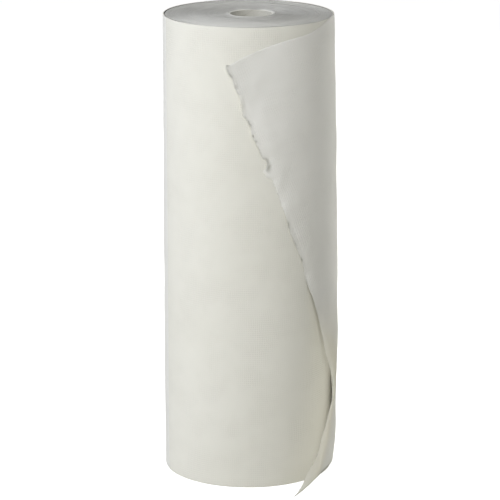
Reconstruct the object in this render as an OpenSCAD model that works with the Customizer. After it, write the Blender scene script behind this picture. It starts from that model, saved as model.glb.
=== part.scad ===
// Examination table paper: a roll of embossed tissue on a board tube, standing on end.
// Millimetres. +Z runs up the tube's axis, and the origin is on that axis at the floor.
// Angles about the roll are measured from +X towards the front (-Y), the way the web is wound.

/* [Wound paper] */
// Width of the paper web, which is the height of the standing roll
roll_h = 500; // [400:1:600]
// Outer diameter of the tightly wound turns
roll_d = 181; // [150:0.5:220]
// How far the soft roll's outside sits to the left of its tube
core_shift = 3; // [0:0.1:4]

/* [Core tube] */
// Bore of the board tube, which a holder's rod goes through
core_bore_d = 45; // [38:0.5:60]
// Wall of the board tube
core_wall = 2; // [1:0.1:4]
// Gap between the tube and the innermost turn
core_fit = 0.3; // [0.1:0.05:0.6]

/* [Turns in the end faces] */
// Radial distance between the seams that show in the end faces
turn_pitch = 2.2; // [1.8:0.1:5]
// Width of a seam between turns
seam_w = 0.35; // [0.2:0.05:0.6]
// Depth of a seam between turns
seam_depth = 0.9; // [0.3:0.1:2]
// Width of solid paper left inside the rim
rim_w = 1.6; // [1:0.1:3]

/* [Loose outer turn] */
// Thickness of the loose web, with its embossing
web_t = 0.4; // [0.3:0.05:0.6]
// Least air gap between the loose turn and the wound ones
min_gap = 0.5; // [0.4:0.05:1]
// Angle where the web comes off the wound turns
loose_from = -200; // [-215:1:-170]
// Depth to which the start of the loose web is let into the wound turns
root_depth = 0.5; // [0.3:0.1:1]
// Slack of the loose turn at the right side, at mid height
slack_mid = 5.8; // [2:0.1:8]
// Slack of the loose turn at the right side, just above the floor
slack_low = 4.6; // [1:0.1:6]
// Rise of the loose turn's lower edge behind the roll
foot_lift = 8; // [0:0.5:15]

/* [Torn tail] */
// Angle of the torn edge's upper corner
corner_angle = 102; // [85:1:120]
// Drop of that corner below the rim
corner_drop = 39; // [10:1:60]
// Distance of that corner from the wound turns
corner_off = 2.2; // [1.5:0.1:6]
// Angle where the torn edge swings furthest back
bend_angle = 39; // [30:1:50]
// Distance of the torn edge from the wound turns at that bend
bend_off = 27; // [15:0.5:35]
// Angle of the tip that stands on the floor
tip_angle = 67; // [60:1:75]
// Distance of the tip from the wound turns
tip_off = 40.5; // [30:0.5:50]
// Depth of the teeth that the perforation leaves in the torn edge
tooth_depth = 1.6; // [0:0.1:3]

/* [Mesh of the loose web] */
// Strips round the web from its start to the torn edge
strips_round = 48; // [36:4:56]
// Strips up the web from its lower to its upper edge, two to a tooth
strips_up = 40; // [32:2:48]

/* [Hidden] */
$fn = 96;
eps = 0.01;

roll_r = roll_d / 2;
core_r = core_bore_d / 2;
tube_r = core_r + core_wall;
seat_r = tube_r + core_fit;
roll_axis = [-core_shift, 0];

paper_white = [0.93, 0.93, 0.9];
board_grey = [0.72, 0.69, 0.62];

// The torn edge from the floor to the top: share of the web's width, angle, distance from the turns
torn_edge = [
    [0, tip_angle, tip_off],
    [0.12, bend_angle + 12.5, bend_off + 4.5],
    [0.22, bend_angle + 2, bend_off + 1.5],
    [0.28, bend_angle, bend_off - 4],
    [0.38, bend_angle + 1.5, bend_off * 0.4],
    [0.5, bend_angle + 9, 4.2],
    [0.7, bend_angle + 0.5 * (corner_angle - bend_angle), 3.6],
    [0.86, bend_angle + 0.79 * (corner_angle - bend_angle), 3],
    [1, corner_angle, corner_off]
];

// Slack of the loose turn at the roll's right side: share of the web's width, distance
slack_curve = [
    [0, 0.4 * slack_low],
    [0.1, slack_low],
    [0.42, slack_mid],
    [0.7, 0.57 * slack_mid],
    [1, 0]
];

// Smooth curve through a list of [t, value, ...] rows; column picks the value
function span(rows, t, i = 0) =
    i >= len(rows) - 2 || t <= rows[i + 1][0] ? i : span(rows, t, i + 1);

function tangent(rows, i, column) =
    let (a = rows[max(i - 1, 0)])
    let (b = rows[min(i + 1, len(rows) - 1)])
    (b[column] - a[column]) / (b[0] - a[0]);

function curve(rows, t, column) =
    let (i = span(rows, t))
    let (a = rows[i])
    let (b = rows[i + 1])
    let (w = b[0] - a[0])
    let (x = (t - a[0]) / w)
    a[column] * (2 * x ^ 3 - 3 * x ^ 2 + 1)
    + b[column] * (3 * x ^ 2 - 2 * x ^ 3)
    + w * tangent(rows, i, column) * (x ^ 3 - 2 * x ^ 2 + x)
    + w * tangent(rows, i + 1, column) * (x ^ 3 - x ^ 2);

function limit(x, low, high) = min(max(x, low), high);
function ease(x) = let (c = limit(x, 0, 1)) c * c * (3 - 2 * c);

// Radius of the loose turn where it follows the roll: the slack grows round the back,
// and past the right side it comes down to the torn edge's own distance if that is less
function slack_r(angle, v) =
    let (grown = limit(1 - angle / loose_from, 0, 1))
    let (off = web_t + min_gap + grown * curve(slack_curve, v, 1))
    let (edge_off = curve(torn_edge, v, 2))
    let (closing = ease(angle / curve(torn_edge, v, 1)))
    roll_r + off + closing * min(0, edge_off - off);

// The lower rows leave the roll on a straight tangent that runs out to the torn edge
function web_r(angle, v) =
    let (edge_angle = curve(torn_edge, v, 1))
    let (edge_r = roll_r + curve(torn_edge, v, 2))
    let (run = acos(min(1, slack_r(edge_angle, v) / edge_r)))
    slack_r(angle, v) / cos(limit(angle - edge_angle + run, 0, run));

// Height of the web: the tail sags towards the torn edge, and the foot rides up behind
function web_z(angle, v) =
    let (sag_from = 15 - 80 * (1 - v))
    let (x = limit((angle - sag_from) / (curve(torn_edge, v, 1) - sag_from), 0, 1))
    let (sag = 0.25 * ease(2.5 * x) + 0.75 * x ^ 3)
    let (rise = sin(180 * limit((angle - loose_from) / (tip_angle - loose_from), 0, 1)))
    roll_h * v - corner_drop * v ^ 0.6 * sag + foot_lift * rise * (1 - v) ^ 3;

// One point of the web's outer (depth 0) or inner (depth web_t) face
function web_point(i, j, depth) =
    let (v = j / strips_up)
    let (tooth = i == strips_round ? (j % 2) * tooth_depth * 180 / PI / roll_r : 0)
    let (edge_angle = curve(torn_edge, v, 1))
    let (angle = loose_from + (edge_angle - loose_from) * i / strips_round - tooth)
    let (root = i == 0 ? web_t + min_gap + root_depth : 0)
    let (r = web_r(angle, v) - depth - root)
    [r * cos(angle), -r * sin(angle), web_z(angle, v)];

// Board tube, cut square with the paper at both ends
module core_tube() {
    color(board_grey)
        difference() {
            cylinder(h = roll_h, r = tube_r);
            translate([0, 0, -1])
                cylinder(h = roll_h + 2, r = core_r);
        }
}

// A seam between two turns, in both end faces, at share s of the way from the seat to the rim
module turn_seam(s) {
    seam_r = seat_r + s * (roll_r - rim_w - seat_r);
    for (z = [-eps, roll_h - seam_depth])
        translate([s * roll_axis[0], 0, z])
            linear_extrude(seam_depth + eps)
                difference() {
                    circle(seam_r);
                    circle(seam_r - seam_w);
                }
}

// The wound turns, with the seams between them in the end faces
module wound_turns() {
    seams = floor((roll_r - rim_w - seat_r) / turn_pitch);
    difference() {
        translate(roll_axis)
            cylinder(h = roll_h, r = roll_r);
        translate([0, 0, -1])
            cylinder(h = roll_h + 2, r = seat_r);
        for (k = [1:seams])
            turn_seam(k / seams);
    }
}

// The loose outer turn and the torn tail, one thin sheet from its root to the torn edge
module loose_web() {
    up = strips_up + 1;
    side = (strips_round + 1) * up;
    points = [
        for (depth = [0, web_t])
            for (i = [0:strips_round])
                for (j = [0:strips_up])
                    web_point(i, j, depth)
    ];
    faces = [
        for (i = [0:strips_round - 1])
            for (j = [0:strips_up - 1])
                for (f = [
                    [i * up + j, (i + 1) * up + j + 1, i * up + j + 1],
                    [i * up + j, (i + 1) * up + j, (i + 1) * up + j + 1]
                ])
                    for (inner = [0, 1])
                        inner == 0 ? f : [f[2] + side, f[1] + side, f[0] + side],
        for (i = [0:strips_round - 1])
            for (j = [0, strips_up])
                let (a = i * up + j)
                let (b = a + up)
                j == 0 ? [a, a + side, b + side, b] : [a, b, b + side, a + side],
        for (j = [0:strips_up - 1])
            for (i = [0, strips_round])
                let (a = i * up + j)
                let (b = a + 1)
                i == 0 ? [a, b, b + side, a + side] : [a, a + side, b + side, b]
    ];
    translate(roll_axis)
        polyhedron(points, faces, convexity = 6);
}

// The paper is one web, so its wound turns, loose turn and tail are one solid
module paper_roll() {
    color(paper_white)
        union() {
            wound_turns();
            loose_web();
        }
}

paper_roll();
core_tube();
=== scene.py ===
"""Looks, light and camera for the exam table paper roll.

Metres. The board tube's axis is the Z axis, the roll stands on the floor at z = 0, and the
camera looks along +Y. Angles about the roll, in degrees, run from +X towards -Y, which is the
way the web is wound, so the front is at 90.
"""

import math

import bpy
import numpy as np
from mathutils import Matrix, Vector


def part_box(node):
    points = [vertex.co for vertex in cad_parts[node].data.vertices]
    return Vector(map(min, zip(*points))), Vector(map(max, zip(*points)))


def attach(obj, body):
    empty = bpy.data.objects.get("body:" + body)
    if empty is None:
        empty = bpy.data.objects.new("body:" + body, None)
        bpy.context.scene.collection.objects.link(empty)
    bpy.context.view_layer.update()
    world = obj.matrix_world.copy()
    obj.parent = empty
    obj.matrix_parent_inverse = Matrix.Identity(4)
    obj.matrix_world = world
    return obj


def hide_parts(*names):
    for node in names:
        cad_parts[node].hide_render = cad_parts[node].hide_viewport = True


MM = 0.001
SEED = 11

# ---------------------------------------------------------------- sizes, as in the part's source

ROLL_R = 90.5 * MM          # wound turns
CORE_SHIFT = 3.0 * MM       # the tube sits this far right of the roll's own axis
CORE_FIT = 0.3 * MM         # between the tube and the innermost turn
RIM_W = 2.4 * MM            # paper without seams inside the rim
TURN_PITCH = 2.2 * MM       # between the seams in the end faces
SEAM_W = 0.35 * MM
SEAM_DEPTH = 0.9 * MM

WEB_T = 0.4 * MM            # loose web
MIN_GAP = 0.5 * MM
LOOSE_FROM = -200.0
SLACK_MID = 5.8 * MM
SLACK_LOW = 4.6 * MM
FOOT_LIFT = 8.0 * MM

CORNER_ANGLE = 102.0        # torn tail
CORNER_DROP = 39.0 * MM
BEND_ANGLE = 39.0
BEND_OFF = 27.0 * MM
TIP_ANGLE = 67.0
TIP_OFF = 40.5 * MM
FIRST_STRIP = 1 / 40        # share of the web's width
SLITS_AT = 70.0 * MM        # next row of slits, from the start of the loose web
SLIT_PITCH = 10.0 * MM

CORNER_R = 0.6 * MM         # small forms of the wound turns: round of the outer corners
DENT_DEPTH = 0.2 * MM
OPEN_SHIFT = 1.1 * MM       # the outermost turn, where it is open: width of the gap
OPEN_DEPTH = 2.6 * MM       # and its depth
END_BAND = 1.5 * MM         # what lies this close to the top is the upper end face
END_UNEVEN = 0.16 * MM
LIP_RISE = 0.8 * MM         # the turns stand proud round the tube
LIP_FADE = 3.5 * MM

TAIL_FROM = 0.942           # small forms of the loose web: share of its rows with wide strips
REST_GAP = 0.06 * MM        # least air under it
MAX_WAVE = 3.0 * MM
THIN_W = 3.0 * MM           # it thins out this close to its free edges
CURL_W = 1.8 * MM
TIE_PITCH = 8.0 * MM        # of the perforation at the tear
ALOFT_FROM = 3.5 * MM       # light comes through where it hangs this clear of the turns
ALOFT_FADE = 6.5 * MM

# Waves of the loose web: height, length, number of plane waves, reach from the torn edge
WAVES = (
    (0.35 * MM, 85 * MM, 7, math.inf),
    (0.5 * MM, 28 * MM, 7, 30 * MM),
    (0.12 * MM, 14 * MM, 12, 110 * MM),
)

# Torn edge from the floor to the top: share of the web's width, angle, distance from the turns
TORN_EDGE = (
    (0.0, TIP_ANGLE, TIP_OFF),
    (0.12, BEND_ANGLE + 12.5, BEND_OFF + 4.5 * MM),
    (0.22, BEND_ANGLE + 2, BEND_OFF + 1.5 * MM),
    (0.28, BEND_ANGLE, BEND_OFF - 4 * MM),
    (0.38, BEND_ANGLE + 1.5, BEND_OFF * 0.4),
    (0.5, BEND_ANGLE + 9, 4.2 * MM),
    (0.7, BEND_ANGLE + 0.5 * (CORNER_ANGLE - BEND_ANGLE), 3.6 * MM),
    (0.86, BEND_ANGLE + 0.79 * (CORNER_ANGLE - BEND_ANGLE), 3.0 * MM),
    (1.0, CORNER_ANGLE, 2.2 * MM),
)

# How far the tear strays past that line, in mm, by share of the web's width: it runs straight
# down for a while, then jogs back where a few ties held
TEAR = (
    (0.0, 3.0), (0.012, 2.4), (0.03, 2.0), (0.05, 1.2), (0.08, 0.0), (0.1, -1.3),
    (0.118, -1.1), (0.137, 0.6), (0.172, 1.8), (0.205, 1.1), (0.255, 0.0), (0.31, 1.0),
    (0.355, 0.0), (0.41, -1.2), (0.445, -0.4), (0.475, 0.2), (0.515, -0.3), (0.53, -1.3),
    (0.56, -1.1), (0.6, 0.2), (0.63, 0.3), (0.65, -0.8), (0.68, -1.5), (0.743, -1.9),
    (0.749, 3.2), (0.763, 4.4), (0.769, 0.5), (0.776, -3.2), (0.787, -3.0), (0.793, -0.8),
    (0.825, -0.2), (0.848, 0.9), (0.856, -0.6), (0.864, -1.2), (0.877, 0.1), (0.883, 1.0),
    (0.889, 2.7), (0.905, 1.7), (0.922, 0.2), (0.932, -0.3), (0.942, 1.4), (0.958, 2.2),
    (0.969, 1.5), (0.975, 3.0), (0.984, 3.9), (0.992, 5.0), (1.0, 3.6),
)

# Places where the torn edge curls out: share of the web's width, half height, reach in mm
CURLS = (
    (0.985, 0.018, 1.6), (0.952, 0.012, 1.2), (0.91, 0.018, 1.5), (0.868, 0.008, 0.8),
    (0.842, 0.008, 0.9), (0.775, 0.016, 1.5), (0.66, 0.02, 0.5), (0.61, 0.03, 1.1),
    (0.55, 0.025, 0.9), (0.455, 0.03, 0.5), (0.36, 0.03, 0.5), (0.245, 0.03, 1.0),
    (0.16, 0.02, 0.5), (0.09, 0.012, 0.9), (0.072, 0.008, 0.9),
)

# Painted shade where the two plies part at the tear, and painted highlight where a lifted fray
# would catch the light: share of the web's width, half height in mm, distance in from the tear in
# mm, half width in mm, darkness (below zero a painted highlight)
FRAY_PAINTED_MARKS = (
    (0.998, 1.7, 1.0, 1.6, 0.6), (0.986, 4.0, 0.4, 0.9, 0.4), (0.976, 2.4, 0.8, 1.3, 0.6),
    (0.952, 1.9, 1.6, 1.6, 0.35), (0.934, 1.3, 1.2, 1.2, 0.3), (0.912, 8.0, 0.6, 1.8, -0.8),
    (0.886, 1.4, 1.2, 1.0, 0.5), (0.872, 4.2, 0.5, 1.1, 0.8), (0.843, 1.4, 0.6, 1.1, 1.0),
    (0.843, 1.3, 3.2, 1.0, -0.9), (0.830, 1.3, 1.0, 1.2, 0.6), (0.808, 6.0, 0.4, 0.9, 0.4),
    (0.782, 4.5, 1.6, 2.2, 0.7), (0.767, 4.0, 4.6, 2.4, 0.95), (0.757, 3.2, 0.6, 1.8, -0.9),
    (0.700, 9.0, 0.4, 0.8, 0.25), (0.636, 4.6, 0.8, 1.1, 0.8), (0.590, 6.0, 0.6, 1.0, 0.4),
    (0.549, 2.6, 0.8, 1.3, 0.9), (0.500, 9.0, 0.6, 1.0, 0.35), (0.420, 5.0, 0.5, 0.9, 0.3),
    (0.252, 2.5, 0.6, 0.9, 0.7), (0.237, 2.0, 0.5, 1.1, -0.9), (0.216, 2.0, 0.6, 0.9, 0.6),
    (0.084, 1.5, 0.8, 1.3, -1.0), (0.077, 1.2, 1.0, 1.0, 0.6), (0.070, 1.4, 0.8, 1.1, -1.0),
    (0.058, 1.8, 0.8, 1.1, -0.8),
)

# Slack at the right side: share of the web's width, distance
SLACK = (
    (0.0, 0.4 * SLACK_LOW),
    (0.1, SLACK_LOW),
    (0.42, SLACK_MID),
    (0.7, 0.57 * SLACK_MID),
    (1.0, 0.0),
)


# ---------------------------------------------------------------- curves and noise

def curve(rows, t, column):
    """Smooth curve through rows of (t, value, ...), for an array t."""
    rows = np.array(rows)
    x, y = rows[:, 0], rows[:, column]
    before = np.r_[0, np.arange(len(x) - 1)]
    after = np.r_[np.arange(1, len(x)), len(x) - 1]
    slope = (y[after] - y[before]) / (x[after] - x[before])
    i = np.clip(np.searchsorted(x, t, side="left") - 1, 0, len(x) - 2)
    w = x[i + 1] - x[i]
    s = (t - x[i]) / w
    return (y[i] * (2 * s**3 - 3 * s**2 + 1) + y[i + 1] * (3 * s**2 - 2 * s**3)
            + w * slope[i] * (s**3 - 2 * s**2 + s) + w * slope[i + 1] * (s**3 - s**2))


def ease(x):
    """0 up to 0, 1 from 1 on, and smooth between."""
    c = np.clip(x, 0, 1)
    return c * c * (3 - 2 * c)


def waves(u, v, length, seed, count=7):
    """Smooth noise of about -1 to 1: plane waves of about one length, in random directions."""
    rng = np.random.default_rng(seed)
    total = np.zeros(np.broadcast(u, v).shape)
    for _ in range(count):
        way = rng.uniform(0, math.tau)
        size = length * rng.uniform(0.7, 1.5)
        total += np.sin(math.tau * (u * math.cos(way) + v * math.sin(way)) / size
                        + rng.uniform(0, math.tau))
    return total / math.sqrt(count)


# ---------------------------------------------------------------- the loose web's surface

def slack_r(angle, v):
    """Radius of the loose turn where it follows the roll: its slack grows round the back."""
    grown = np.clip(1 - angle / LOOSE_FROM, 0, 1)
    off = WEB_T + MIN_GAP + grown * curve(SLACK, v, 1)
    closing = ease(angle / curve(TORN_EDGE, v, 1))
    return ROLL_R + off + closing * np.minimum(0, curve(TORN_EDGE, v, 2) - off)


def web_r(angle, v):
    """Radius of the web: its lower rows leave the roll on a tangent out to the torn edge."""
    edge_angle = curve(TORN_EDGE, v, 1)
    edge_r = ROLL_R + curve(TORN_EDGE, v, 2)
    run = np.degrees(np.arccos(np.minimum(1, slack_r(edge_angle, v) / edge_r)))
    return slack_r(angle, v) / np.cos(np.radians(np.clip(angle - edge_angle + run, 0, run)))


def web_z(angle, v):
    """Height of the web: the tail sags towards the torn edge, the foot rides up behind."""
    sag_from = 15 - 80 * (1 - v)
    x = np.clip((angle - sag_from) / (curve(TORN_EDGE, v, 1) - sag_from), 0, 1)
    sag = 0.25 * ease(2.5 * x) + 0.75 * x**3
    rise = np.sin(np.pi * np.clip((angle - LOOSE_FROM) / (TIP_ANGLE - LOOSE_FROM), 0, 1))
    # Straight up to the solid's first strip
    drop = np.where(v < FIRST_STRIP, v * FIRST_STRIP**-0.4, v**0.6)
    return WIDTH * v - CORNER_DROP * drop * sag + FOOT_LIFT * rise * (1 - v) ** 3


def on_roll(angle, r, z):
    """Points at an angle and radius about the roll's own axis."""
    a = np.radians(angle)
    return np.stack([r * np.cos(a) - CORE_SHIFT, -r * np.sin(a), z + 0 * a], -1)


# ---------------------------------------------------------------- mesh helpers

def grid_faces(rows, columns, closed=False, start=0, flip=False):
    """Quads of a grid of points numbered row by row; closed joins the last row to the first."""
    i = np.arange(rows if closed else rows - 1)[:, None]
    j = np.arange(columns - 1)[None, :]
    a = i * columns + j
    b = (i + 1) % rows * columns + j
    quads = np.stack([a, b, b + 1, a + 1], -1).reshape(-1, 4) + start
    return quads[:, ::-1] if flip else quads


def make_mesh(name, points, quads, uv, materials, parts, values=None):
    """A smooth-shaded mesh: uv and named values per point, parts (material numbers) per quad."""
    mesh = bpy.data.meshes.new(name)
    mesh.from_pydata(points.tolist(), [], quads.tolist())
    loops = np.zeros(len(mesh.loops), np.int32)
    mesh.loops.foreach_get("vertex_index", loops)
    layer = mesh.uv_layers.new(name="web")
    layer.data.foreach_set("uv", uv[loops].astype(np.float32).ravel())
    for key, value in (values or {}).items():
        attribute = mesh.attributes.new(key, "FLOAT", "POINT")
        attribute.data.foreach_set("value", value.astype(np.float32))
    mesh.polygons.foreach_set("use_smooth", np.ones(len(quads), bool))
    mesh.polygons.foreach_set("material_index", np.asarray(parts, np.int32))
    mesh.validate()
    mesh.update()
    for material in materials:
        mesh.materials.append(material)
    obj = bpy.data.objects.new(name, mesh)
    bpy.context.scene.collection.objects.link(obj)
    return obj


# ---------------------------------------------------------------- node helpers

class Nodes:
    """Short calls to build a material's node tree."""

    def __init__(self, name):
        self.material = bpy.data.materials.new(name)
        self.material.use_nodes = True
        self.tree = self.material.node_tree
        self.shader = self.tree.nodes["Principled BSDF"]

    def add(self, kind, **settings):
        node = self.tree.nodes.new(kind)
        for key, value in settings.items():
            setattr(node, key, value)
        return node

    def join(self, source, target):
        self.tree.links.new(source, target)

    def feed(self, socket, value):
        """Sets a socket to a number, a vector or a colour, or joins another socket to it."""
        if isinstance(value, bpy.types.NodeSocket):
            self.join(value, socket)
        elif isinstance(value, tuple):
            socket.default_value = (*value, 1)[:len(socket.default_value)]
        else:
            socket.default_value = value

    def split(self, vector):
        node = self.add("ShaderNodeSeparateXYZ")
        self.join(vector, node.inputs[0])
        return tuple(node.outputs)

    def attribute(self, name):
        return self.add("ShaderNodeAttribute", attribute_name=name).outputs["Fac"]

    def math(self, operation, *values):
        node = self.add("ShaderNodeMath", operation=operation)
        for socket, value in zip(node.inputs, values):
            self.feed(socket, value)
        return node.outputs[0]

    def vector(self, operation, *values):
        node = self.add("ShaderNodeVectorMath", operation=operation)
        second = node.inputs["Scale"] if operation == "SCALE" else node.inputs[1]
        for socket, value in zip((node.inputs[0], second), values):
            self.feed(socket, value)
        return node.outputs[0]

    def ramp(self, value, low, high, to_low=0.0, to_high=1.0):
        node = self.add("ShaderNodeMapRange", clamp=True)
        self.join(value, node.inputs["Value"])
        keys = ("From Min", "From Max", "To Min", "To Max")
        for key, number in zip(keys, (low, high, to_low, to_high)):
            node.inputs[key].default_value = number
        return node.outputs[0]

    def mix(self, factor, a, b):
        node = self.add("ShaderNodeMix", data_type="RGBA", clamp_factor=True)
        for k, value in ((0, factor), (6, a), (7, b)):
            self.feed(node.inputs[k], value)
        return node.outputs[2]

    def noise(self, coordinates, scale, detail=3.0, roughness=0.55, stretch=None):
        if stretch:
            mapping = self.add("ShaderNodeMapping")
            mapping.inputs["Scale"].default_value = stretch
            self.join(coordinates, mapping.inputs["Vector"])
            coordinates = mapping.outputs[0]
        node = self.add("ShaderNodeTexNoise")
        self.join(coordinates, node.inputs["Vector"])
        node.inputs["Scale"].default_value = scale
        node.inputs["Detail"].default_value = detail
        node.inputs["Roughness"].default_value = roughness
        return node.outputs["Fac"]

    def bump(self, height, distance, strength=1.0, normal=None):
        node = self.add("ShaderNodeBump")
        node.inputs["Strength"].default_value = strength
        node.inputs["Distance"].default_value = distance
        self.join(height, node.inputs["Height"])
        if normal is not None:
            self.join(normal, node.inputs["Normal"])
        return node.outputs[0]

    def surface(self, colour, roughness, specular):
        self.join(colour, self.shader.inputs["Base Color"])
        self.shader.inputs["Roughness"].default_value = roughness
        self.shader.inputs["Specular IOR Level"].default_value = specular


# ---------------------------------------------------------------- materials

TISSUE_WHITE = (0.864, 0.858, 0.818)
TISSUE_SHADE = (0.814, 0.808, 0.759)
EDGE_WHITE = (0.93, 0.93, 0.905)
EDGE_SHADE = (0.83, 0.83, 0.805)
BOARD = (0.66, 0.655, 0.615)
BOARD_DARK = (0.56, 0.55, 0.505)
BOARD_SEAM = (0.3, 0.29, 0.25)
BOARD_END = (0.95, 0.945, 0.91)
EDGE_PATCH = (0.73, 0.73, 0.70)
DIMPLE_PAINTED_SHADE = (0.66, 0.655, 0.62)
LOOSE_WHITE = (0.982, 0.982, 0.98)
TAIL_PAINTED_SHADE = (0.76, 0.76, 0.74)
FRAY_PAINTED_SHADE = (0.34, 0.34, 0.30)
FRAY_PAINTED_HIGHLIGHT = (0.995, 0.99, 0.96)
SLIT_SHADE = (0.30, 0.30, 0.28)
THROUGH_TINT = (1.0, 0.98, 0.91)    # of the light that comes through the loose web
# The inner face's warm tint is painted warm light, which its bounce carries onto the turns
INSIDE_PAINTED_WARM_LIGHT = (1.0, 0.955, 0.82)    # of its inner face
FLOOR_SEEN = (0.95, 0.95, 0.95)
FLOOR_BOUNCE = (0.66, 0.65, 0.58)
WORLD_SEEN = (1, 1, 1)
WORLD_LIGHT = (1.0, 1.0, 0.965)

EMBOSS_PITCH = 2.3 * MM
RIDGE_PITCH = 0.45 * MM
RIDGE_SLOPE = 2.0
LIP_R = 25 * MM             # the proud turns round the tube slope down from here
LIP_W = 7 * MM
LIP_SLOPE = 0.9
PLY_LEAD = 95 * MM          # rise of the tube's spiral seam in one turn
PLY_SEAM_W = 0.7 * MM
# Share of light that each face of the loose web lets on, where it lies close and where it hangs
# clear
SEE_THROUGH = (0.14, 0.92)


def tissue(name, see_through=None, painted_warm_light=None):
    """Two-ply tissue with a fine diamond embossing, laid out along and across the web."""
    n = Nodes(name)
    uv = n.add("ShaderNodeUVMap", uv_map="web").outputs[0]
    along, across, _ = n.split(uv)

    # Dots on a diamond lattice: two crossed sets of diagonal waves, uneven and pressed in by
    # patches
    turn = math.pi / EMBOSS_PITCH
    sway = n.math("MULTIPLY_ADD", n.noise(uv, 60, detail=1), 3.2 * MM, -1.6 * MM)
    skewed = n.math("ADD", along, sway)
    one = n.math("SINE", n.math("MULTIPLY", n.math("ADD", skewed, across), turn))
    two = n.math("SINE", n.math("MULTIPLY", n.math("SUBTRACT", skewed, across), turn))
    dots = n.math("MULTIPLY", one, two)
    pressed = n.ramp(n.noise(uv, 26, detail=2), 0.42, 0.62, 0.25, 1.3)
    dimples = n.math("MULTIPLY", n.ramp(dots, -0.35, 0.85), pressed)

    fibres = n.noise(uv, 900, detail=4, roughness=0.6)
    crepe = n.noise(uv, 240, detail=3, stretch=(1.0, 0.25, 1.0))
    cloud = n.noise(uv, 9, detail=3)

    tone = n.math("MULTIPLY_ADD", cloud, 0.7, n.math("MULTIPLY", fibres, 0.3))
    colour = n.mix(n.ramp(tone, 0.35, 0.75), TISSUE_WHITE, TISSUE_SHADE)
    # Painted shade in the embossed dimples: the colour darkens where the dots are pressed in
    colour = n.mix(n.math("MULTIPLY", dimples, 0.16), colour, DIMPLE_PAINTED_SHADE)

    if see_through:
        # What one web sends on it doesn't send back, so its own colour is lighter
        colour = n.mix(0.92, colour, LOOSE_WHITE)
        # Strength of the painted shade by height across the web
        ends = n.math("ADD", n.ramp(across, 260 * MM, 350 * MM, 2.6, 1.0),
                      n.ramp(across, 430 * MM, 475 * MM, 0.0, 2.4))
        # Painted shade towards the torn edge: the colour darkens there, most in its lower half and at the
        # upper corner
        tail = n.math("MULTIPLY", n.ramp(along, 5 * MM, 60 * MM, 0.17, 0.0), ends)
        colour = n.mix(tail, colour, TAIL_PAINTED_SHADE)
        # Painted shade and painted highlight at the tear, and painted shade along the tail's lower edge
        painted_shade_and_highlight = n.attribute("painted_shade_and_highlight")
        colour = n.mix(n.ramp(painted_shade_and_highlight, 0.0, 1.0, 0.0, 0.8), colour, FRAY_PAINTED_SHADE)
        colour = n.mix(n.ramp(painted_shade_and_highlight, 0.0, -1.0, 0.0, 0.9), colour, FRAY_PAINTED_HIGHLIGHT)
        # Row of slits where the next sheet tears off
        line = n.math("ABSOLUTE", n.math("SUBTRACT", n.attribute("start"), SLITS_AT))
        slit = n.math("LESS_THAN", n.math("FRACT", n.math("DIVIDE", across, SLIT_PITCH)), 0.84)
        cut = n.math("MULTIPLY", n.ramp(line, 0.2 * MM, 0.45 * MM, 0.75, 0.0), slit)
        colour = n.mix(cut, colour, SLIT_SHADE)
    # A warm tint on the inner face is painted warm light
    n.surface(n.mix(0.8, colour, painted_warm_light) if painted_warm_light else colour, 0.92, 0.25)
    n.shader.inputs["Sheen Weight"].default_value = 0.12
    n.shader.inputs["Sheen Roughness"].default_value = 0.6

    height = n.math("SUBTRACT", n.math("MULTIPLY", crepe, 0.35), dimples)
    normal = n.bump(fibres, 0.05 * MM, 0.5, n.bump(height, 0.17 * MM, 0.9))
    n.join(normal, n.shader.inputs["Normal"])
    if see_through:
        beyond = n.add("ShaderNodeBsdfTranslucent")
        n.join(n.mix(0.35, colour, THROUGH_TINT), beyond.inputs["Color"])
        n.join(normal, beyond.inputs["Normal"])
        both = n.add("ShaderNodeMixShader")
        n.join(n.ramp(n.attribute("aloft"), 0.0, 1.0, *see_through), both.inputs[0])
        n.join(n.shader.outputs[0], both.inputs[1])
        n.join(beyond.outputs[0], both.inputs[2])
        n.join(both.outputs[0], n.tree.nodes["Material Output"].inputs["Surface"])
    return n.material


def turn_edges():
    """The cut edges of the turns: fine rings that follow the winding, u round and v outwards."""
    n = Nodes("turn_edges")
    at = n.add("ShaderNodeTexCoord").outputs["Object"]
    uv = n.add("ShaderNodeUVMap", uv_map="web").outputs[0]
    fine = n.noise(uv, 1, detail=2, stretch=(9.0, 2600.0, 1.0))
    broad = n.noise(uv, 1, detail=3, stretch=(3.0, 260.0, 1.0))
    patch = n.noise(uv, 1, detail=2, stretch=(14.0, 40.0, 1.0))
    tone = n.math("ADD", n.math("MULTIPLY", fine, 0.45), n.math("MULTIPLY", broad, 0.55))
    colour = n.mix(n.ramp(tone, 0.36, 0.66), EDGE_SHADE, EDGE_WHITE)
    colour = n.mix(n.ramp(patch, 0.45, 0.75, 0.0, 0.3), colour, EDGE_PATCH)
    n.surface(colour, 0.95, 0.2)

    # Each turn's edge is a steep little ridge, finer than a bump can follow, so it tilts the
    # normal straight towards or away from the tube
    centre = n.vector("ADD", at, (CORE_SHIFT / 2, 0, 0))
    outwards = n.vector("NORMALIZE", n.vector("MULTIPLY", centre, (1, 1, 0)))
    _, out, _ = n.split(uv)
    ridge = n.math("SINE", n.math("MULTIPLY_ADD", out, math.tau / RIDGE_PITCH,
                                  n.math("MULTIPLY", broad, 9.0)))
    # Round the tube the turns stand proud, and slope down from there
    proud = n.ramp(out, LIP_R, LIP_R + LIP_W, LIP_SLOPE, 0.0)
    tilt = n.vector("SCALE", outwards, n.math("MULTIPLY_ADD", ridge, RIDGE_SLOPE, proud))
    lean = n.vector("ADD", n.bump(broad, 0.4 * MM, 0.5), tilt)
    n.join(n.vector("NORMALIZE", lean), n.shader.inputs["Normal"])
    return n.material


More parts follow.
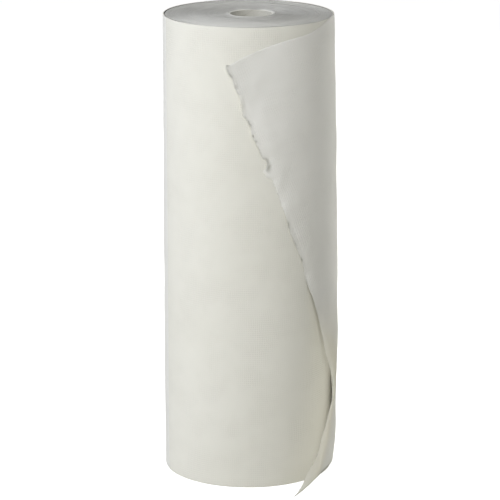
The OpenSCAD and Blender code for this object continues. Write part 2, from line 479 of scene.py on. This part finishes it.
def board():
    """Grey board of the spirally wound tube, with the seam of its inner ply."""
    n = Nodes("core_board")
    at = n.add("ShaderNodeTexCoord").outputs["Object"]
    x, y, z = n.split(at)
    turn = n.math("DIVIDE", n.math("ARCTAN2", y, x), math.tau)
    spiral = n.math("FRACT", n.math("ADD", n.math("DIVIDE", z, PLY_LEAD), turn))
    from_seam = n.math("ABSOLUTE", n.math("SUBTRACT", spiral, 0.5))
    seam = n.math("LESS_THAN", from_seam, PLY_SEAM_W / 2 / PLY_LEAD)
    fibres = n.noise(at, 700, detail=4, roughness=0.65)
    mottle = n.noise(at, 60, detail=3)
    tone = n.math("MULTIPLY_ADD", fibres, 0.6, n.math("MULTIPLY", mottle, 0.4))
    colour = n.mix(n.ramp(tone, 0.35, 0.68), BOARD_DARK, BOARD)
    colour = n.mix(n.math("MULTIPLY", seam, 0.25), colour, BOARD_SEAM)
    # The ends are cut clean, and paler than the wall
    from_middle = n.math("ABSOLUTE", n.math("SUBTRACT", z, WIDTH / 2))
    end = n.math("GREATER_THAN", from_middle, WIDTH / 2 - 0.3 * MM)
    colour = n.mix(n.math("MULTIPLY", end, 0.95), colour, BOARD_END)
    n.surface(colour, 0.85, 0.3)
    height = n.math("SUBTRACT", fibres, n.math("MULTIPLY", seam, 2.5))
    n.join(n.bump(height, 0.15 * MM, 0.7), n.shader.inputs["Normal"])
    return n.material


# ---------------------------------------------------------------- pieces

def open_turn(angle):
    """How open the outermost turn is in the upper end face, 0 to 1: from the front left round the back."""
    a = angle % 360
    return ease((a - 150) / 32) * ease((352 - a) / 60)


def wound_turns(seat_r, materials):
    """The wound turns: embossed outside, two ringed end faces and the tube's seat, one closed mesh."""
    around = 288
    angle = np.linspace(0, 360, around, endpoint=False)
    rng = np.random.default_rng(SEED)
    reach = ROLL_R - RIM_W - seat_r
    bands = int(reach / TURN_PITCH)

    # The profile runs out over the lower face, up the wall, in over the upper face and down the
    # seat: radius, height, how far the open turn shifts and sinks the point, part (0 wall, 1 the
    # rest)
    profile = [(seat_r, 0.1 * MM, 0, 0, 1)]
    for k in range(bands):
        a, b = seat_r + reach * k / bands, seat_r + reach * (k + 1) / bands
        profile += [(a + 0.3 * SEAM_W, 0, 0, 0, 1), (b - 1.5 * SEAM_W, 0, 0, 0, 1),
                    (b - 0.6 * SEAM_W, SEAM_DEPTH, 0, 0, 1)]
    bend = np.linspace(0, math.pi / 2, 5)
    corner = [(ROLL_R - CORNER_R * (1 - math.sin(t)), CORNER_R * (1 - math.cos(t))) for t in bend]
    profile += [(r, z, 0, 0, 0) for r, z in corner]
    profile += [(ROLL_R, z, 0, 0, 0) for z in np.linspace(CORNER_R, WIDTH - CORNER_R, 74)[1:-1]]
    profile += [(r, WIDTH - z, 0, 0, 0) for r, z in reversed(corner)]
    edge = ROLL_R - CORNER_R
    profile += [(edge - 0.10 * MM, WIDTH, 0, 0, 1), (edge - 0.14 * MM, WIDTH, 0, 1, 1),
                (edge - 0.18 * MM, WIDTH, 1, 1, 1), (edge - 0.24 * MM, WIDTH, 1, 0, 1)]
    for k in reversed(range(bands)):
        a, b = seat_r + reach * k / bands, seat_r + reach * (k + 1) / bands
        low = 0.25 * MM * rng.random()
        profile += [(b - 0.6 * SEAM_W, WIDTH - SEAM_DEPTH, 0, 0, 1),
                    (b - 1.3 * SEAM_W, WIDTH - low - 0.15 * MM, 0, 0, 1),
                    (b - 2.0 * SEAM_W, WIDTH - low, 0, 0, 1), (a + 1.3 * SEAM_W, WIDTH - low, 0, 0, 1),
                    (a + 0.3 * SEAM_W, WIDTH - low - 0.15 * MM, 0, 0, 1)]
    profile += [(seat_r, WIDTH - 0.1 * MM, 0, 0, 1)]
    profile += [(seat_r, WIDTH * k / 4, 0, 0, 1) for k in (3, 2, 1)]
    r, z, shifts, sinks, part = np.array(profile).T[:, None, :]
    count = r.shape[1]

    a = np.radians(angle)[:, None]
    opening = open_turn(angle)[:, None]
    along = a * ROLL_R
    wall = part == 0
    # Soft dents, but none where the loose web starts
    start = np.abs((angle[:, None] - LOOSE_FROM + 180) % 360 - 180)
    dents = np.abs(waves(along, z, 0.11, SEED + 1)) * ease((start - 4) / 30)
    rr = r - DENT_DEPTH * dents * wall - OPEN_SHIFT * opening * shifts
    uneven = 0.5 + 0.5 * np.sin(a + 40 * r / ROLL_R) * np.sin(3 * a - 90 * r / ROLL_R)
    upper_end = (z > WIDTH - END_BAND) * (part == 1)
    zz = z - OPEN_DEPTH * opening * sinks - END_UNEVEN * uneven * upper_end
    zz = zz + LIP_RISE * np.exp((seat_r - r) / LIP_FADE) * upper_end
    # Rings are centred between the tube's axis and the roll's own, by how far out they lie
    share = (r - seat_r) / (ROLL_R - seat_r)
    points = np.stack([rr * np.cos(a) - CORE_SHIFT * share, -rr * np.sin(a), zz], -1).reshape(-1, 3)

    # Both ways round closed: the last column joins the first
    i = np.arange(around)
    b = (i + 1) % around
    seam = np.stack([i * count + count - 1, b * count + count - 1, b * count, i * count], -1)
    quads = np.concatenate([grid_faces(around, count, closed=True), seam])
    column = np.r_[np.tile(np.arange(count - 1), around), np.full(around, count - 1)]
    between = (part[0, column] == 0) & (part[0, (column + 1) % count] == 0)
    v = np.where(wall, z, r)
    uv = np.stack(np.broadcast_arrays(along, v), -1).reshape(-1, 2)
    return make_mesh("wound_turns", points, quads, uv, materials, np.where(between, 0, 1))


def tear(z):
    """How far the torn edge strays from its line, at heights z along the web's width."""
    rng = np.random.default_rng(SEED + 5)
    rows = np.array(TEAR)
    wander = np.interp(z / WIDTH, rows[:, 0], rows[:, 1]) * MM
    ties = 0.25 + 0.75 * rng.random(int(WIDTH / TIE_PITCH) + 2)
    from_tie = (z % TIE_PITCH) - 0.4 * TIE_PITCH
    tie = ties[(z / TIE_PITCH).astype(int)] * np.exp(-(from_tie / (0.9 * MM)) ** 2)
    return wander + 0.9 * MM * tie + 0.2 * MM * waves(z, 0 * z, 2.6 * MM, SEED + 6, 5)


def loose_web(materials):
    """The loose outer turn and the torn tail: one thin closed sheet."""
    v = np.r_[0, 0.0008, 0.0016, 0.0026, np.linspace(0.004, 1, 376)][None, :]
    # Wide strips round the roll, and fine ones along the torn edge
    t = np.r_[np.linspace(0, TAIL_FROM, 75)[:-1], np.linspace(TAIL_FROM, 1, 50)][:, None]
    edge_angle = curve(TORN_EDGE, v, 1)
    angle = LOOSE_FROM + (edge_angle - LOOSE_FROM) * t
    v = np.broadcast_to(v, angle.shape)
    across = v * WIDTH
    smooth_r = web_r(angle, v)

    # Distance back from the torn edge, along each row
    steps = np.linalg.norm(np.diff(on_roll(angle, smooth_r, web_z(angle, v)), axis=0), axis=2)
    back = np.zeros(angle.shape)
    back[:-1] = np.cumsum(steps[::-1], axis=0)[::-1]
    turned = angle + np.degrees(tear(across) * np.exp(-back / (8 * MM)) / smooth_r)

    # Soft waves all over, small ones that die away from the torn edge, and the curls
    wave = np.zeros(angle.shape)
    for k, (height, length, count, fade) in enumerate(WAVES):
        wave += height * waves(back, across, length, SEED + 2 + k, count) * np.exp(-back / fade)
    for centre, half, lift in CURLS:
        here = lift * MM * np.exp(-((v - centre) / half) ** 2)
        furrow = 0.4 * np.exp(-((back - 4.5 * MM) / (2.4 * MM)) ** 2)
        wave += here * (np.exp(-back / CURL_W) - furrow)
    # The upper edge: a bent corner, and a stretch that hugs the turns
    wave += 1.3 * MM * np.exp(-((angle - 86) / 4.5) ** 2 - (WIDTH - across) / (2.5 * MM))
    wave -= 0.6 * MM * ease((72 - angle) / 25) * np.exp(-(WIDTH - across) / (14 * MM))
    # Half way down, the torn edge lies close to the turns
    hug = ease((v - 0.42) / 0.1) * ease((0.84 - v) / 0.06) * np.exp(-back / (7 * MM))
    wave -= 3.3 * MM * hug
    # The tail's lower edge turns under, and a band along it gets painted shade
    low = web_z(turned, v) - web_z(turned, 0 * v)
    painted_hem_shade = ease((angle - 5) / 20) * np.exp(-((low / (2.0 * MM)) ** 2))
    wave -= 0.6 * MM * ease((angle - 5) / 20) * np.exp(-across / (1.5 * MM))
    # The sheet thins out at its free edges
    free = np.minimum(np.minimum(back, across), WIDTH - across)
    thick = WEB_T * (0.35 + 0.65 * ease(free / THIN_W))
    room = np.maximum(smooth_r - ROLL_R - thick - REST_GAP, 0)
    wave = np.clip(wave, -room, MAX_WAVE) * ease((angle - LOOSE_FROM) / 30)

    # The start lies in the wound turns and comes out of them slowly
    out = ease((angle - LOOSE_FROM + 1.5) / 34)
    outer_r = ROLL_R - 0.05 * MM + out * (smooth_r + wave - ROLL_R + 0.05 * MM)
    z = web_z(turned, v)

    # Painted shade along the tail's lower edge and at the tear, painted highlight at lifted frays
    painted_shade_and_highlight = 1.1 * painted_hem_shade
    for centre, half, inset, width, dark in FRAY_PAINTED_MARKS:
        up = (v - centre) * WIDTH / half / MM
        painted_shade_and_highlight += dark * np.exp(-up**2 - ((back / MM - inset) / width) ** 2)

    outer = on_roll(turned, outer_r, z)
    inner = on_roll(turned, outer_r - thick, z)
    rows, columns = angle.shape
    side = rows * columns
    points = np.concatenate([outer.reshape(-1, 3), inner.reshape(-1, 3)])
    i = np.arange(rows - 1) * columns
    j = np.arange(columns - 1)
    top = i + columns - 1
    last = (rows - 1) * columns + j
    quads = np.concatenate([
        grid_faces(rows, columns, flip=True),
        grid_faces(rows, columns, start=side),
        np.stack([i, i + columns, i + columns + side, i + side], -1),
        np.stack([top, top + side, top + columns + side, top + columns], -1),
        np.stack([j, j + side, j + 1 + side, j + 1], -1),
        np.stack([last, last + 1, last + 1 + side, last + side], -1),
    ])
    uv = np.stack([back, across], -1).reshape(-1, 2)
    # Light comes through the tail's lower part, past the right side
    aloft = ease((smooth_r - ROLL_R - ALOFT_FROM) / ALOFT_FADE)
    aloft = aloft * ease((angle + 1) / 14) * ease((0.46 - v) / 0.2)
    values = {"aloft": np.tile(aloft.ravel(), 2), "painted_shade_and_highlight": np.tile(painted_shade_and_highlight.ravel(), 2),
              "start": np.tile((back[0] - back).ravel(), 2)}
    outside = (rows - 1) * (columns - 1)
    parts = np.zeros(len(quads))
    parts[outside:2 * outside] = 1
    both_uv = np.concatenate([uv, uv])
    return make_mesh("loose_web", points, quads, both_uv, materials, parts, values)


# ---------------------------------------------------------------- stage, light and camera

CAMERA_AT = (-1.3 * MM, -2.9704, 0.9983)
CAMERA_PITCH = 14.312       # degrees below the level
FOCAL_PX = 2827.3           # focal length in pixels of the 500-pixel frame
FRAME_PX = 500
SENSOR = 36.0               # mm
FLOOR_SIZE = 60.0
FLOOR_LIFT = 0.8            # glow that keeps the floor white to the camera
WORLD_STRENGTH = 0.18


def camera_only_mix(tree, seen, other, output):
    """Shows one shader to the camera and another to everything else."""
    path = tree.nodes.new("ShaderNodeLightPath")
    mix = tree.nodes.new("ShaderNodeMixShader")
    tree.links.new(path.outputs["Is Camera Ray"], mix.inputs[0])
    tree.links.new(other.outputs[0], mix.inputs[1])
    tree.links.new(seen.outputs[0], mix.inputs[2])
    tree.links.new(mix.outputs[0], output.inputs[0])


def shade(tree, kind, colour, strength=None):
    """A diffuse, emission or background node."""
    node = tree.nodes.new(kind)
    node.inputs[0].default_value = (*colour, 1)
    if strength is not None:
        node.inputs[1].default_value = strength
    return node


def stage():
    """A white floor in a white room, both brighter to the camera than to the roll."""
    half = FLOOR_SIZE / 2
    mesh = bpy.data.meshes.new("floor")
    corners = [(-half, -half, 0), (half, -half, 0), (half, half, 0), (-half, half, 0)]
    mesh.from_pydata(corners, [], [(0, 1, 2, 3)])
    floor = bpy.data.objects.new("floor", mesh)
    bpy.context.scene.collection.objects.link(floor)
    material = bpy.data.materials.new("floor_white")
    material.use_nodes = True
    tree = material.node_tree
    tree.nodes.clear()
    output = tree.nodes.new("ShaderNodeOutputMaterial")
    pale = shade(tree, "ShaderNodeBsdfDiffuse", FLOOR_BOUNCE)
    bright = shade(tree, "ShaderNodeBsdfDiffuse", FLOOR_SEEN)
    lift = shade(tree, "ShaderNodeEmission", (1, 1, 1), FLOOR_LIFT)
    both = tree.nodes.new("ShaderNodeAddShader")
    tree.links.new(bright.outputs[0], both.inputs[0])
    tree.links.new(lift.outputs[0], both.inputs[1])
    camera_only_mix(tree, both, pale, output)
    mesh.materials.append(material)

    world = bpy.data.worlds.new("studio")
    bpy.context.scene.world = world
    world.use_nodes = True
    tree = world.node_tree
    tree.nodes.clear()
    output = tree.nodes.new("ShaderNodeOutputWorld")
    seen = shade(tree, "ShaderNodeBackground", WORLD_SEEN, 1.0)
    other = shade(tree, "ShaderNodeBackground", WORLD_LIGHT, WORLD_STRENGTH)
    camera_only_mix(tree, seen, other, output)


def softbox(name, azimuth, distance, height, size, power, tint=(1, 1, 1), aim=0.25):
    """A square lamp that faces the roll; azimuth 0 is the camera's side, positive to the right."""
    lamp = bpy.data.lights.new(name, "AREA")
    lamp.shape = "SQUARE"
    lamp.color = tint
    lamp.size = size
    lamp.energy = power
    obj = bpy.data.objects.new(name, lamp)
    a = math.radians(azimuth)
    obj.location = (distance * math.sin(a), -distance * math.cos(a), height)
    obj.rotation_euler = (math.atan2(distance, height - aim), 0, a)
    bpy.context.scene.collection.objects.link(obj)


def camera():
    """The photo's camera, fitted to the roll's outline and the ellipses of its top face."""
    data = bpy.data.cameras.new("camera")
    data.sensor_width = SENSOR
    data.lens = FOCAL_PX * SENSOR / FRAME_PX
    data.clip_end = 100
    obj = bpy.data.objects.new("camera", data)
    obj.location = CAMERA_AT
    obj.rotation_euler = (math.radians(90 - CAMERA_PITCH), 0, 0)
    bpy.context.scene.collection.objects.link(obj)
    bpy.context.scene.camera = obj


# ---------------------------------------------------------------- the scene

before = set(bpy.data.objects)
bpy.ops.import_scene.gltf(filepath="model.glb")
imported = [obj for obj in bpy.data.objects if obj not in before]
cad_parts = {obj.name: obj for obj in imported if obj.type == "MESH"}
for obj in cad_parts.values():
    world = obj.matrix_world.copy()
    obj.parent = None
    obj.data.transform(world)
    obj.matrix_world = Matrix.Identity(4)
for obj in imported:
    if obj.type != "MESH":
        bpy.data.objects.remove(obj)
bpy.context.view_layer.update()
_, tube_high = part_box("core_tube")
WIDTH = tube_high.z

wound = wound_turns(tube_high.x + CORE_FIT, (tissue("tissue"), turn_edges()))
web = loose_web((tissue("loose_tissue", SEE_THROUGH),
                 tissue("loose_inside", SEE_THROUGH, INSIDE_PAINTED_WARM_LIGHT)))
for piece in (wound, web):
    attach(piece, "root")
    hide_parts("paper_roll")

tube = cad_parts["core_tube"]
tube.data.materials.clear()
tube.data.materials.append(board())

stage()
softbox("key", azimuth=-50, distance=1.8, height=1.2, size=0.9, power=12.2, tint=(0.94, 0.96, 1))
softbox("front", azimuth=0, distance=2.2, height=1.7, size=0.9, power=24, tint=(1, 0.992, 0.95))
softbox("left", azimuth=-95, distance=1.8, height=0.8, size=0.9, power=9.5, tint=(0.94, 0.96, 1))
softbox("right", azimuth=140, distance=1.6, height=0.15, size=0.5, power=16, tint=(1, 0.995, 0.93))
softbox("back", azimuth=180, distance=1.8, height=1.5, size=0.9, power=13)
camera()
bpy.context.scene.view_settings.view_transform = "Standard"
